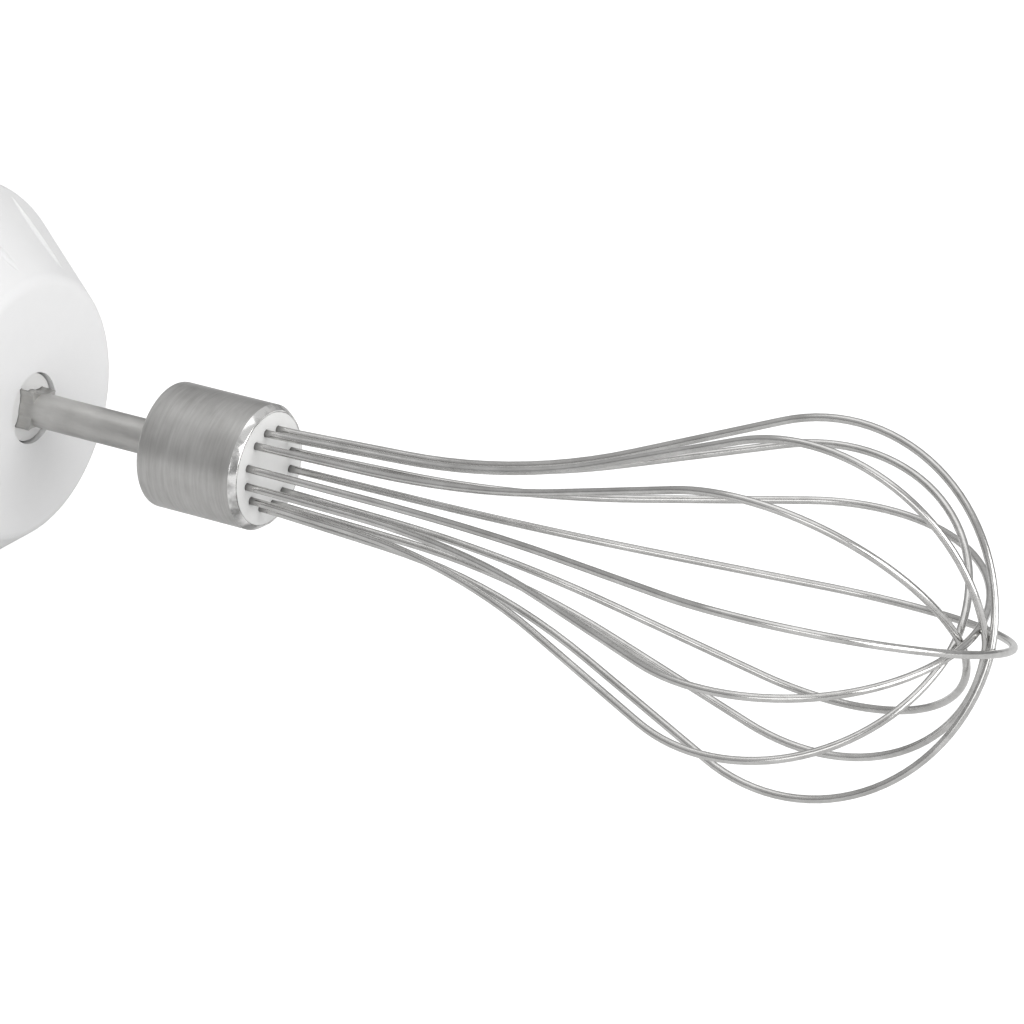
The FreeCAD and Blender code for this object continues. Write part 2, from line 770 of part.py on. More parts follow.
def motor_frame():
    bracket = turned("bracket_blank", (
        ("-" + BRACKET_FRONT, "bracket_hole"),
        ("-" + BRACKET_FRONT, BRACKET_RIM),
        ("-" + BRACKET_BACK, BRACKET_RIM),
        ("-" + BRACKET_BACK, "bracket_sleeve"),
        ("-can_start - bracket_grip", "bracket_sleeve"),
        ("-can_start - bracket_grip", "can_radius + slip_fit"),
        ("-can_start", "can_radius + slip_fit"),
        ("-can_start", "bracket_hole"),
    ))
    holes = [rod("bracket_hole_%d" % index, "head_screw_radius + slip_fit",
                 ("-%s - 1" % BRACKET_BACK, "head_screw_circle * %.9f" % math.cos(angle),
                  "head_screw_circle * %.9f" % math.sin(angle)), "bracket_flange + 2")
             for index, angle in enumerate(around(PLANETS, FIRST_PLANET + 60))]
    node(cut("bracket_drilled", bracket, *holes), "motor_bracket")
    node(turned("can", (
        ("-can_start", "bearing_radius"),
        ("-can_start", "can_radius"),
        ("-" + CAN_END, "can_radius"),
        ("-" + CAN_END, "can_radius - can_wall"),
        ("-can_start - can_wall", "can_radius - can_wall"),
        ("-can_start - can_wall", "bearing_radius"),
    )), "motor_can")
    sleeve = ring("magnet_ring", "can_radius - can_wall - magnet_width", "can_radius - can_wall - slip_fit",
                  "-armature_start - armature_length - 2", "armature_length + 4")
    gap = box("magnet_gap", ("-armature_start - armature_length - 4", "-can_radius", "-magnet_parting"),
              ("-armature_start + 4", "can_radius", "magnet_parting"))
    node(cut("magnets", sleeve, gap), "motor_magnets")
    node(turned("end_bell", (
        ("-%s" % CAN_END, "bearing_radius - 2"),
        ("-%s" % CAN_END, "can_radius"),
        ("-%s - bell_width" % CAN_END, "can_radius"),
        ("-%s - bell_width" % CAN_END, "bell_hub"),
        ("-%s - bell_hub_length" % CAN_END, "bell_hub"),
        ("-%s - bell_hub_length" % CAN_END, "bearing_radius"),
        ("-%s - bell_hub_length + bearing_width" % CAN_END, "bearing_radius"),
        ("-%s - bell_hub_length + bearing_width" % CAN_END, "bearing_radius - 2"),
    )), "motor_end_bell")
    bore = "motor_shaft_radius + running_fit"
    node(ring("bearing_a", bore, "bearing_radius", "-can_start - can_wall", "bearing_width"), "front_bearing")
    node(ring("bearing_b", bore, "bearing_radius", "-%s - bell_hub_length" % CAN_END, "bearing_width"),
         "rear_bearing")


def motor_rotor():
    node(rod("rotor_shaft", "motor_shaft_radius", ("-motor_shaft_rear", "0", "0"),
             "motor_shaft_rear - motor_shaft_front"), "motor_shaft")
    core = ring("core_blank", "motor_shaft_radius", "armature_radius", "-armature_start - armature_length",
                "armature_length")
    slots = []
    bars = []
    start = size("-armature_start - armature_length")
    length = size("armature_length")
    circle = size("winding_circle")
    bar_radius = size("winding_bar_radius")
    mouth_width = size("armature_mouth")
    play = size("slip_fit * 2")
    for angle in around(int(size("armature_slots")), 18):
        groove = Part.makeCylinder(bar_radius + play, length + 2, FreeCAD.Vector(start - 1, circle, 0),
                                   FreeCAD.Vector(1, 0, 0))
        mouth = Part.makeBox(length + 2, size("armature_radius"), mouth_width,
                             FreeCAD.Vector(start - 1, circle, -mouth_width / 2))
        slots.append(spun(groove.fuse(mouth), angle))
        bar = Part.makeCylinder(bar_radius, length, FreeCAD.Vector(start, circle, 0), FreeCAD.Vector(1, 0, 0))
        bars.append(spun(bar, angle))
    node(cut("core_slotted", core, solid("core_slots", Part.makeCompound(slots))), "armature_core")
    front = ring("winding_front", "motor_shaft_radius + 1", "winding_radius", "-armature_start",
                 "winding_overhang")
    rear = ring("winding_rear", "motor_shaft_radius + 1", "winding_radius",
                "-armature_start - armature_length - winding_overhang", "winding_overhang")
    round_rim(front, "winding_front_round", "-armature_start + winding_overhang", "winding_radius", "2")
    round_rim(rear, "winding_rear_round", "-armature_start - armature_length - winding_overhang",
              "winding_radius", "2")
    sticks = [solid("winding_bar_%d" % index, bar) for index, bar in enumerate(bars)]
    node(fuse("winding_all", front, rear, *sticks), "armature_winding")
    node(ring("commutator_ring", "motor_shaft_radius", "commutator_radius",
              "-commutator_start - commutator_length", "commutator_length"), "commutator")
    hub = ring("fan_hub", "motor_shaft_radius", "motor_shaft_radius + 3", "-fan_start - fan_length", "fan_length")
    disc = ring("fan_disc", "motor_shaft_radius + 2", "fan_radius", "-fan_start - fan_length", "1.2")
    blades = []
    for index, angle in enumerate(around(int(size("fan_blades")))):
        blade = Part.makeBox(size("fan_length"), size("fan_radius - 4"), size("fan_blade_width"))
        blade.translate(FreeCAD.Vector(size("-fan_start - fan_length"), 4.0, size("-fan_blade_width / 2")))
        blades.append(solid("fan_blade_%d" % index, spun(blade, angle)))
    node(fuse("fan_all", hub, disc, *blades), "cooling_fan")


def brushes():
    start = "-commutator_start - commutator_length / 2 - brush_width / 2"
    inner = "commutator_radius + brush_gap"
    holders = []
    blocks = []
    for index, sign in enumerate(("", "-")):
        near, far = ("%s(%s)" % (sign, inner), "%s(%s + brush_length)" % (sign, inner))
        sides = (near, far) if not sign else (far, near)
        blocks.append(box("brush_%d" % index, (start, sides[0], "-brush_height / 2"),
                          (start + " + brush_width", sides[1], "brush_height / 2")))
        near, far = ("%s(%s + 1)" % (sign, inner), "%s(%s + brush_length + 1)" % (sign, inner))
        sides = (near, far) if not sign else (far, near)
        tube = box("holder_out_%d" % index, ("-" + CAN_END, sides[0], "-brush_height / 2 - holder_wall - slip_fit"),
                   (start + " + brush_width + slip_fit + holder_wall", sides[1],
                    "brush_height / 2 + holder_wall + slip_fit"))
        hollow = box("holder_in_%d" % index, (start + " - slip_fit", "(%s) - 2" % sides[0],
                                             "-brush_height / 2 - slip_fit"),
                     (start + " + brush_width + slip_fit", "(%s) + 2" % sides[1], "brush_height / 2 + slip_fit"))
        holders.append(cut("holder_%d" % index, tube, hollow))
    for name, parts in (("brush_holders", holders), ("carbon_brushes", blocks)):
        node(group(name + "_group", *parts), name)


# ---- handle -------------------------------------------------------------------------------------

def section(back, half_width, half_height, drop):
    """A closed oval across the handle, which begins and ends on one side, clear of every opening."""
    points = []
    for index in range(SECTION_POINTS):
        angle = SEAM_ANGLE + 2 * math.pi * index / SECTION_POINTS
        points.append(FreeCAD.Vector(-back, half_width * math.sin(angle), half_height * math.cos(angle) - drop))
    curve = Part.BSplineCurve()
    curve.interpolate(points, PeriodicFlag=True)
    return Part.Wire(curve.toShape())


def handle_form(name, inset, shorten=0.0):
    """The handle's outer form drawn in by `inset` all round, and shortened at its end."""
    sections = []
    last = size("end_back")
    for station in STATIONS:
        back = size(station + "_back")
        ease = shorten * max(0.0, (back - size("tail_back")) / (last - size("tail_back")))
        sections.append(section(back - ease, size(station + "_width") - inset, size(station + "_height") - inset,
                                size(station + "_drop")))
    return solid(name, Part.makeLoft(sections, True, False))


FAR = "300"


def slab(name, low_back, high_back, low, high):
    """A block across the whole handle between two distances behind the face and two heights."""
    return box(name, ("-(%s)" % high_back, "-shoulder_radius * 2", low),
               ("-(%s)" % low_back, "shoulder_radius * 2", high))


def shell_screw_places():
    return [(back, side) for back in ("shell_screw_front", "shell_screw_rear") for side in ("", "-")]


def stadium(name, front, half_length, half_width, low, high):
    """An upright block with round ends; `front` is its front end's distance behind the face."""
    middle = box(name + "_middle", ("-(%s) - 2 * (%s) + (%s)" % (front, half_length, half_width),
                                    "-(%s)" % half_width, low),
                 ("-(%s) - (%s)" % (front, half_width), half_width, high))
    height = "(%s) - (%s)" % (high, low)
    fore = rod(name + "_fore", half_width, ("-(%s) - (%s)" % (front, half_width), "0", low), height, "Z")
    aft = rod(name + "_aft", half_width,
              ("-(%s) - 2 * (%s) + (%s)" % (front, half_length, half_width), "0", low), height, "Z")
    return fuse(name, middle, fore, aft)


TOP = "shoulder_radius * 1.5"
SPLIT = "0"


def handle_shells():
    outer = handle_form("handle_outer", 0.0)
    inner = handle_form("handle_inner", size("handle_wall"), size("handle_wall") * 1.3)
    above_table = slab("above_table", "0", FAR, "-shoulder_radius", TOP)
    standing = common("handle_standing", outer, above_table)
    bosses = []
    seats = []
    for index, (back, side) in enumerate(shell_screw_places()):
        across = side + "shell_screw_side"
        bosses.append(rod("shell_boss_%d" % index, "shell_boss_radius",
                          ("-" + back, across, "-shoulder_radius * 2"), "shoulder_radius * 4", "Z"))
        seats.append(rod("seat_%d" % index, "shell_screw_cap + play",
                         ("-" + back, across, "-shoulder_radius - 5"), "shell_cap_seat + 5", "Z"))
        seats.append(rod("shank_hole_%d" % index, "shell_screw_radius + slip_fit",
                         ("-" + back, across, "-shoulder_radius"), "shoulder_radius + 1", "Z"))
    hollow = cut("handle_hollow", inner, *bosses)
    hull = cut("handle_hull", standing, hollow)
    front_part = slab("front_part", "0", "tail_start", "-shoulder_radius", SPLIT)
    lower = common("lower_blank", hull, front_part)
    upper = common("upper_blank", hull, slab("upper_part", "0", "tail_start", SPLIT, TOP))
    vents = []
    for index in range(int(size("vent_count"))):
        back = "vent_first + %d * vent_pitch" % index
        vents.append(slab("vent_%d" % index, back, back + " + vent_width", "-vent_drop - vent_height",
                          "-vent_drop"))
    node(cut("lower_done", lower, *(seats + vents)), "handle_shell_lower")
    panel_hole = stadium("panel_hole", "panel_front - panel_play", "panel_length / 2 + panel_play",
                         "panel_half_width + panel_play", "0", TOP)
    panel_floor = handle_form("panel_floor", size("panel_depth"))
    pocket = cut("panel_pocket", panel_hole, panel_floor)
    windows = [
        stadium("turbo_window", "turbo_place - button_half_length - button_play",
                "button_half_length + button_play", "button_half_width + button_play", "0", TOP),
        stadium("on_window", "on_place - button_half_length - button_play",
                "button_half_length + button_play", "button_half_width + button_play", "0", TOP),
        box("slider_window", ("-slider_place - slider_travel / 2 - slider_half_length", "-neck_half_width - play", "0"),
            ("-slider_place + slider_travel / 2 + slider_half_length", "neck_half_width + play", TOP)),
    ]
    pilots = [rod("shell_pilot_%d" % index, "shell_screw_radius + slip_fit",
                  ("-" + back, side + "shell_screw_side", "-1"), "12", "Z")
              for index, (back, side) in enumerate(shell_screw_places())]
    node(cut("upper_done", upper, pocket, *(windows + pilots)), "handle_shell_upper")
    panel_top = handle_form("panel_top", -size("panel_proud"))
    plate = stadium("panel_plate", "panel_front", "panel_length / 2", "panel_half_width", "0", TOP)
    panel = cut("panel_sheet", common("panel_under_top", plate, panel_top), panel_floor)
    node(cut("panel_done", panel, *windows), "control_panel")
    cap = common("cap_blank", hull, slab("cap_part", "tail_start", FAR, "-shoulder_radius", TOP))
    hole = rod("gland_hole", "gland_radius + slip_fit", ("-end_back - 5", "0", "-end_drop"), "12")
    node(cut("cap_done", cap, hole), "end_cap")


def shell_screws():
    parts = []
    seat = "-shoulder_radius + shell_cap_seat"
    for index, (back, side) in enumerate(shell_screw_places()):
        across = side + "shell_screw_side"
        shank = rod("shell_shank_%d" % index, "shell_screw_radius", ("-" + back, across, seat),
                    "shoulder_radius - shell_cap_seat + 10", "Z")
        cap = rod("shell_cap_%d" % index, "shell_screw_cap", ("-" + back, across, seat + " - shell_cap_height"),
                  "shell_cap_height", "Z")
        recess = rod("shell_drive_%d" % index, "shell_screw_cap / 2",
                     ("-" + back, across, seat + " - shell_cap_height * 1.5"), "shell_cap_height", "Z")
        parts.append(cut("shell_screw_%d" % index, fuse("shell_screw_body_%d" % index, shank, cap), recess))
    node(group("shell_screw_group", *parts), "shell_screws")


def cord_gland():
    inside = "-end_back + handle_wall * 1.3"
    body = turned("gland", (
        ("-end_back - gland_length", "gland_bore"),
        ("-end_back - gland_length", "gland_radius - 1.2"),
        ("-end_back - 1", "gland_radius"),
        (inside, "gland_radius"),
        (inside, "gland_flange"),
        (inside + " + gland_flange_width", "gland_flange"),
        (inside + " + gland_flange_width", "gland_bore"),
    ))
    node(body, "cord_gland")
    bind(body, Placement__Base__z="shoulder_radius - end_drop")


# ---- controls -----------------------------------------------------------------------------------

BOARD_TOP = "(board_up + board_width)"


def button(name, place):
    """A button whose top follows the handle, standing proud of it by its travel and a little more."""
    top = handle_form(name + "_top", -size("button_proud"))
    floor = handle_form(name + "_floor", size("button_body") - size("button_proud"))
    plan = stadium(name + "_plan", place + " - button_half_length", "button_half_length",
                   "button_half_width", "0", TOP)
    return node(cut(name + "_cut", common(name + "_under_top", plan, top), floor), name)


def button_spring(name, place, top):
    """An arched strip of spring steel between the switch and the button."""
    low = size(BOARD_TOP + " + switch_height")
    rise = top - low
    thick = size("spring_thickness")
    middle = -size(place)
    half = size("spring_half_length")
    outer = Part.Arc(FreeCAD.Vector(middle - half, 0, low), FreeCAD.Vector(middle, 0, low + rise),
                     FreeCAD.Vector(middle + half, 0, low)).toShape()
    inner = Part.Arc(FreeCAD.Vector(middle + half - thick, 0, low), FreeCAD.Vector(middle, 0, low + rise - thick),
                     FreeCAD.Vector(middle - half + thick, 0, low)).toShape()
    feet = [Part.LineSegment(FreeCAD.Vector(middle + half, 0, low),
                             FreeCAD.Vector(middle + half - thick, 0, low)).toShape(),
            Part.LineSegment(FreeCAD.Vector(middle - half + thick, 0, low),
                             FreeCAD.Vector(middle - half, 0, low)).toShape()]
    face = Part.Face(Part.Wire([outer, feet[0], inner, feet[1]]))
    strip = face.extrude(FreeCAD.Vector(0, size("2 * spring_half_width"), 0))
    strip.translate(FreeCAD.Vector(0, -size("spring_half_width"), 0))
    node(solid(name, strip), name)


def controls():
    buttons = [button("turbo_button", "turbo_place"), button("on_button", "on_place")]
    doc.recompute()
    lift = size("shoulder_radius")
    for item, place in zip(buttons, ("turbo_place", "on_place")):
        probe = Part.makeLine(FreeCAD.Vector(size("nose_to_foot - " + place), 0, lift),
                              FreeCAD.Vector(size("nose_to_foot - " + place), 0, lift * 3))
        bottom = item.Shape.common(probe).BoundBox.ZMin - lift
        button_spring(item.Label + "_spring", place, bottom - size("play"))
    knob_top = handle_form("slider_top", -size("slider_proud"))
    knob_floor = handle_form("slider_floor", -size("panel_proud + slider_float"))
    plan = box("slider_plan", ("-slider_place - slider_half_length", "-slider_half_width", "0"),
               ("-slider_place + slider_half_length", "slider_half_width", TOP))
    knob = cut("slider_knob", common("slider_under_top", plan, knob_top), knob_floor)
    neck_plan = box("slider_neck_plan", ("-slider_place - slider_half_length / 2", "-neck_half_width",
                                         BOARD_TOP + " + switch_height + play"),
                    ("-slider_place + slider_half_length / 2", "neck_half_width", TOP))
    neck = common("slider_neck", neck_plan, handle_form("slider_neck_top", -size("slider_proud") / 2))
    grooves = []
    ribs = int(size("slider_ribs"))
    for index in range(ribs):
        place = "-slider_place + slider_half_length * %.4f" % (2 * (index + 0.5) / ribs - 1)
        grooves.append(cut("slider_groove_%d" % index,
                           box("groove_plan_%d" % index,
                               (place + " - slider_groove_width / 2", "-slider_half_width - 1", "0"),
                               (place + " + slider_groove_width / 2", "slider_half_width + 1", TOP)),
                           handle_form("groove_floor_%d" % index, size("slider_groove_depth - slider_proud"))))
    node(cut("slider_done", fuse("slider_body", knob, neck), *grooves), "speed_slider")
    board = box("board", ("-board_front - board_length", "-board_half_width", "board_up"),
                ("-board_front", "board_half_width", BOARD_TOP))
    node(board, "control_board")
    switches = []
    for place in ("turbo_place", "on_place"):
        base = box(place + "_switch", ("-%s - switch_half_length" % place, "-switch_half_width", BOARD_TOP),
                   ("-%s + switch_half_length" % place, "switch_half_width", BOARD_TOP + " + switch_height"))
        plunger = rod(place + "_plunger", "plunger_radius", ("-" + place, "0", BOARD_TOP),
                      "switch_height + plunger_rise", "Z")
        switches.append(fuse(place + "_switch_all", base, plunger))
    node(group("switch_group", *switches), "button_switches")
    track = box("track", ("-slider_place - slider_travel / 2 - slider_half_length", "-3.5", BOARD_TOP),
                ("-slider_place + slider_travel / 2 + slider_half_length", "3.5", BOARD_TOP + " + switch_height"))
    node(track, "speed_sensor")


# ---- build, check and write ---------------------------------------------------------------------

gear_head_shell()
gear_head_plate()
gear_head_screws()
drive_socket()
planet_carrier()
planet_stage()
whisk_shaft()
whisk_collar()
whisk_wires()
whisk_insert()
motor_frame()
motor_rotor()
brushes()
handle_shells()
shell_screws()
cord_gland()
controls()
doc.recompute()

for item in doc.Objects:
    if "Invalid" in item.State or "Error" in item.State:
        raise RuntimeError("failed feature: " + item.Name)
for item in nodes:
    if item.Shape.isNull() or not item.Shape.isValid():
        raise RuntimeError("bad shape: " + item.Label)

os.makedirs("parts", exist_ok=True)
for item in nodes:
    item.Shape.exportStep("parts/%s.step" % item.Label)
print(len(nodes), "sub-parts written")
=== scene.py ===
from math import cos, pi, radians, sin
import bpy
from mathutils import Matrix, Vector


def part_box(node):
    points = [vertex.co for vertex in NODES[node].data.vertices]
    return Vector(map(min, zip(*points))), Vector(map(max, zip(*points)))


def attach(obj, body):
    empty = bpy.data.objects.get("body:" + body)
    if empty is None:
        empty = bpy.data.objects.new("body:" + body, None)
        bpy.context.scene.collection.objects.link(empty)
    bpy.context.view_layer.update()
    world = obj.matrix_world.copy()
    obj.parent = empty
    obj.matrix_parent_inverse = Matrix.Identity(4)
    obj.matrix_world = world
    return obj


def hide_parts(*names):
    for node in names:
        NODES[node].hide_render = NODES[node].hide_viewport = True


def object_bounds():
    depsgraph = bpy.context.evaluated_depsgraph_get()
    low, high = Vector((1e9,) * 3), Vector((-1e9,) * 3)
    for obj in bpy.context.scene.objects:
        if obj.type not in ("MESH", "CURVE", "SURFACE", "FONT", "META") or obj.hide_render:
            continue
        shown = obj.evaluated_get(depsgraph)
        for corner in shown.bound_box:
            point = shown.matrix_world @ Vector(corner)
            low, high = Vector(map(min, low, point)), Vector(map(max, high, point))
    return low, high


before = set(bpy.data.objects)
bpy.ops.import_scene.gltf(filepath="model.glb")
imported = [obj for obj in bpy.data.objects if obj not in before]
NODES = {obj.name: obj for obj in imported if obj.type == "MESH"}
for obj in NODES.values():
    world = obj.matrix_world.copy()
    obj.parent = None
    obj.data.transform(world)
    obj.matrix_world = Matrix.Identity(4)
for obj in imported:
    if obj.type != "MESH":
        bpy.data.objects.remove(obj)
CAD_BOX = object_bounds()

# Lengths are in metres, and powers in watts.
AXIS_HEIGHT = (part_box("gear_head_shell")[0].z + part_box("gear_head_shell")[1].z) / 2
INSERT_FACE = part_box("whisk_insert")[1].x
# Painted shade on the wires where they enter the insert: how far it runs and its dark colour.
WIRE_ENTRY_LENGTH = 0.0022
WIRE_ENTRY_PAINTED_SHADE = (0.16, 0.158, 0.155)

COLLAR_SIDES = 160
CHAMFER_LENGTH = 0.00108
CHAMFER_DROP = 0.00073
LIP_WIDTH = 0.00027
BACK_ROUND = 0.0005
BACK_WALL = 0.0009

BUTTON_SIDES = 64
BUTTON_EDGE = 0.00012
CROWN = 0.0011
# Each ring of the crown: how far in from the last one it lies, and the share of the crown that it rises.
CROWN_RINGS = ((0.0005, 0.36), (0.0009, 0.36), (0.0012, 0.18), (0.0008, -0.15), (0.0008, -0.2))
MARK_SEAT = 0.62
BUTTON_MARK_PITCH = 0.0022
BUTTON_MARK_HALF_WIDTH = 0.00035
BUTTON_MARK_HALF_LENGTH = 0.0024

MARK_SIDES = 24
MARK_DEPTH = 0.0006
MARK_PROUD = 0.00012
SPEED_STEPS = 5
SPEED_MARK_SIDE = -0.0067
SPEED_MARK_HALF_WIDTH = 0.0003
SPEED_MARK_SHORTEST = 0.0005
SPEED_MARK_GROWTH = 0.00028
SLIDER_TRAVEL = 0.014
CLEAR_ABOVE = 0.01

FLOOR_SIDE = 12.0
FLOOR_GLOW = 0.93
ROOM_LEVELS = [(0.0, 0.28), (0.2, 0.36), (0.5, 0.54), (1.0, 0.60)]
# Each softbox: its name, place, width, height and power.
SOFTBOXES = (
    ("top_softbox", (0.25, 0.05, 1.3), 1.5, 1.3, 4.2),
    ("whisk_side_softbox", (1.5, -0.1, 0.5), 1.1, 0.9, 10.5),
    ("front_softbox", (0.75, -1.35, 0.5), 0.9, 0.7, 3.0),
)

COLLAR_FRONT = Vector((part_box("whisk_collar")[1].x - CHAMFER_LENGTH, 0.0, AXIS_HEIGHT))
CAMERA_FROM_COLLAR = Vector((0.40231, -0.59158, 0.32524))
CAMERA_TURN = radians(31.14)
CAMERA_RISE = radians(24.984)
CAMERA_LENS = 178.57


class Reading:
    """A number or colour that changes over a surface: one socket of a finish."""

    def __init__(self, finish, socket):
        self.finish = finish
        self.socket = socket

    def worked(self, operation, first, second):
        return self.finish.add("ShaderNodeMath", {"operation": operation}, {0: first, 1: second})

    def __add__(self, other):
        return self.worked("ADD", self, other)

    def __radd__(self, other):
        return self.worked("ADD", other, self)

    def __mul__(self, other):
        return self.worked("MULTIPLY", self, other)

    def __rmul__(self, other):
        return self.worked("MULTIPLY", other, self)


class Nodes:
    """A node tree that is added to by naming a node's type, its settings and what goes into it."""

    def __init__(self, tree):
        self.tree = tree

    def add(self, kind, settings=None, inputs=None, output=0):
        node = self.tree.nodes.new(kind)
        for name, value in (settings or {}).items():
            if name == "stops":
                self.stop_ramp(node.color_ramp, value)
            else:
                setattr(node, name, value)
        for name, value in (inputs or {}).items():
            self.feed(node.inputs[name], value)
        return Reading(self, node.outputs[output])

    def stop_ramp(self, ramp, stops):
        while len(ramp.elements) > 1:
            ramp.elements.remove(ramp.elements[-1])
        for number, (place, level) in enumerate(stops):
            element = ramp.elements[0] if number == 0 else ramp.elements.new(place)
            element.position = place
            element.color = (level, level, level, 1.0)

    def feed(self, socket, value):
        if isinstance(value, Reading):
            self.tree.links.new(value.socket, socket)
        else:
            socket.default_value = value

    def mix(self, share, first, second):
        """Goes from the first colour to the second as the share goes from 0 to 1."""
        return self.add("ShaderNodeMix", {"data_type": "RGBA"}, {0: share, 6: first, 7: second}, 2)


class Finish(Nodes):
    """One material: a shader, with the parts of it that stay the same and nodes for what changes."""

    def __init__(self, name, **fixed):
        self.material = bpy.data.materials.new(name)
        self.material.use_nodes = True
        super().__init__(self.material.node_tree)
        self.shader = self.tree.nodes["Principled BSDF"]
        for socket, value in fixed.items():
            label = socket.replace("_", " ").title().replace("Ior", "IOR")
            self.shader.inputs[label].default_value = value
        self.place = self.add("ShaderNodeTexCoord", output="Object")

    def set(self, socket, value):
        self.feed(self.shader.inputs[socket], value)

    def noise(self, scale, detail=2.0, stretch=(1.0, 1.0, 1.0), roughness=0.5):
        place = self.add("ShaderNodeMapping", {}, {"Vector": self.place, "Scale": stretch})
        sockets = {"Vector": place, "Scale": scale, "Detail": detail, "Roughness": roughness}
        return self.add("ShaderNodeTexNoise", {}, sockets)

    def ramp(self, reading, stops):
        return self.add("ShaderNodeValToRGB", {"stops": stops}, {"Fac": reading})

    def blend(self, share, first, second):
        return self.mix(share, (*first, 1.0), (*second, 1.0))

    def relief(self, height, depth, strength=1.0):
        sockets = {"Height": height, "Distance": depth, "Strength": strength}
        self.set("Normal", self.add("ShaderNodeBump", {}, sockets))


def moulded(name, light, dark, gloss, grain, depth, **fixed):
    """Moulded plastic: a slow drift of tone, a finer mottle, and the fine grain of the mould's face."""
    finish = Finish(name, **fixed)
    drift = finish.noise(28.0, 3.0)
    mottle = finish.noise(420.0, 4.0)
    grit = finish.noise(grain, 3.0, roughness=0.6)
    tone = finish.ramp(drift * 0.6 + mottle * 0.4, [(0.3, 0.0), (0.7, 1.0)])
    finish.set("Base Color", finish.blend(tone, dark, light))
    finish.set("Roughness", gloss + mottle * 0.1 + grit * 0.06)
    finish.relief(grit, depth, 0.35)
    return finish.material


def metal(name, light, dark, gloss, streak, depth, stretch=(1.0, 1.0, 1.0), spread=0.12):
    """Metal: streaks along the way it was drawn or turned, and handling marks that change its gloss."""
    finish = Finish(name, metallic=1.0)
    lines = finish.noise(streak, 4.0, stretch, 0.65)
    handling = finish.noise(150.0, 5.0)
    tone = finish.ramp(lines * 0.5 + handling * 0.5, [(0.32, 0.0), (0.68, 1.0)])
    finish.set("Base Color", finish.blend(tone, dark, light))
    finish.set("Roughness", gloss + handling * spread)
    finish.relief(lines, depth, 0.5)
    return finish.material


def chamfer_with_painted_glints():
    """The collar's turned and buffed front edge: mirror bright, with soft cloudy marks in its gloss and
    surface, and painted highlights and painted dark reflections in patches of its colour.
    """
    finish = Finish("buffed_collar_edge", metallic=1.0)
    cloud_marks_and_painted_glints = finish.noise(520.0, 3.0)
    painted_glint_patches = finish.noise(60.0, 2.0)
    # Base colour swings from dark grey to near white in patches: painted highlights and painted dark
    # reflections on the ring.
    tone = finish.ramp(cloud_marks_and_painted_glints * 0.4 + painted_glint_patches * 0.6, [(0.42, 0.0), (0.56, 1.0)])
    finish.set("Base Color", finish.blend(tone, (0.34, 0.337, 0.332), (0.94, 0.935, 0.925)))
    finish.set("Roughness", 0.06 + cloud_marks_and_painted_glints * 0.14)
    finish.relief(cloud_marks_and_painted_glints, 0.00003, 0.5)
    return finish.material


def wire_steel():
    """Bright drawn wire, with painted shade darkening its colour where it enters the whisk's insert."""
    finish = Finish("polished_wire_steel", metallic=1.0)
    along = finish.add("ShaderNodeSeparateXYZ", {}, {"Vector": finish.place}, "X")
    clear = INSERT_FACE + WIRE_ENTRY_LENGTH
    unshaded_share = finish.add("ShaderNodeMapRange", {}, {0: along, 1: INSERT_FACE, 2: clear, 3: 0.0, 4: 1.0})
    lines = finish.noise(900.0, 4.0, (0.3, 1.0, 1.0), 0.65)
    handling = finish.noise(140.0, 4.0)
    tone = finish.ramp(lines * 0.45 + handling * 0.55, [(0.34, 0.0), (0.66, 1.0)])
    clean = finish.blend(tone, (0.50, 0.495, 0.485), (0.72, 0.715, 0.705))
    # Base colour is painted darker for the last stretch before the insert face: painted shade where the
    # wire enters the insert.
    finish.set("Base Color", finish.mix(unshaded_share, (*WIRE_ENTRY_PAINTED_SHADE, 1.0), clean))
    finish.set("Roughness", 0.12 + handling * 0.14)
    finish.relief(lines, 0.000003, 0.5)
    return finish.material


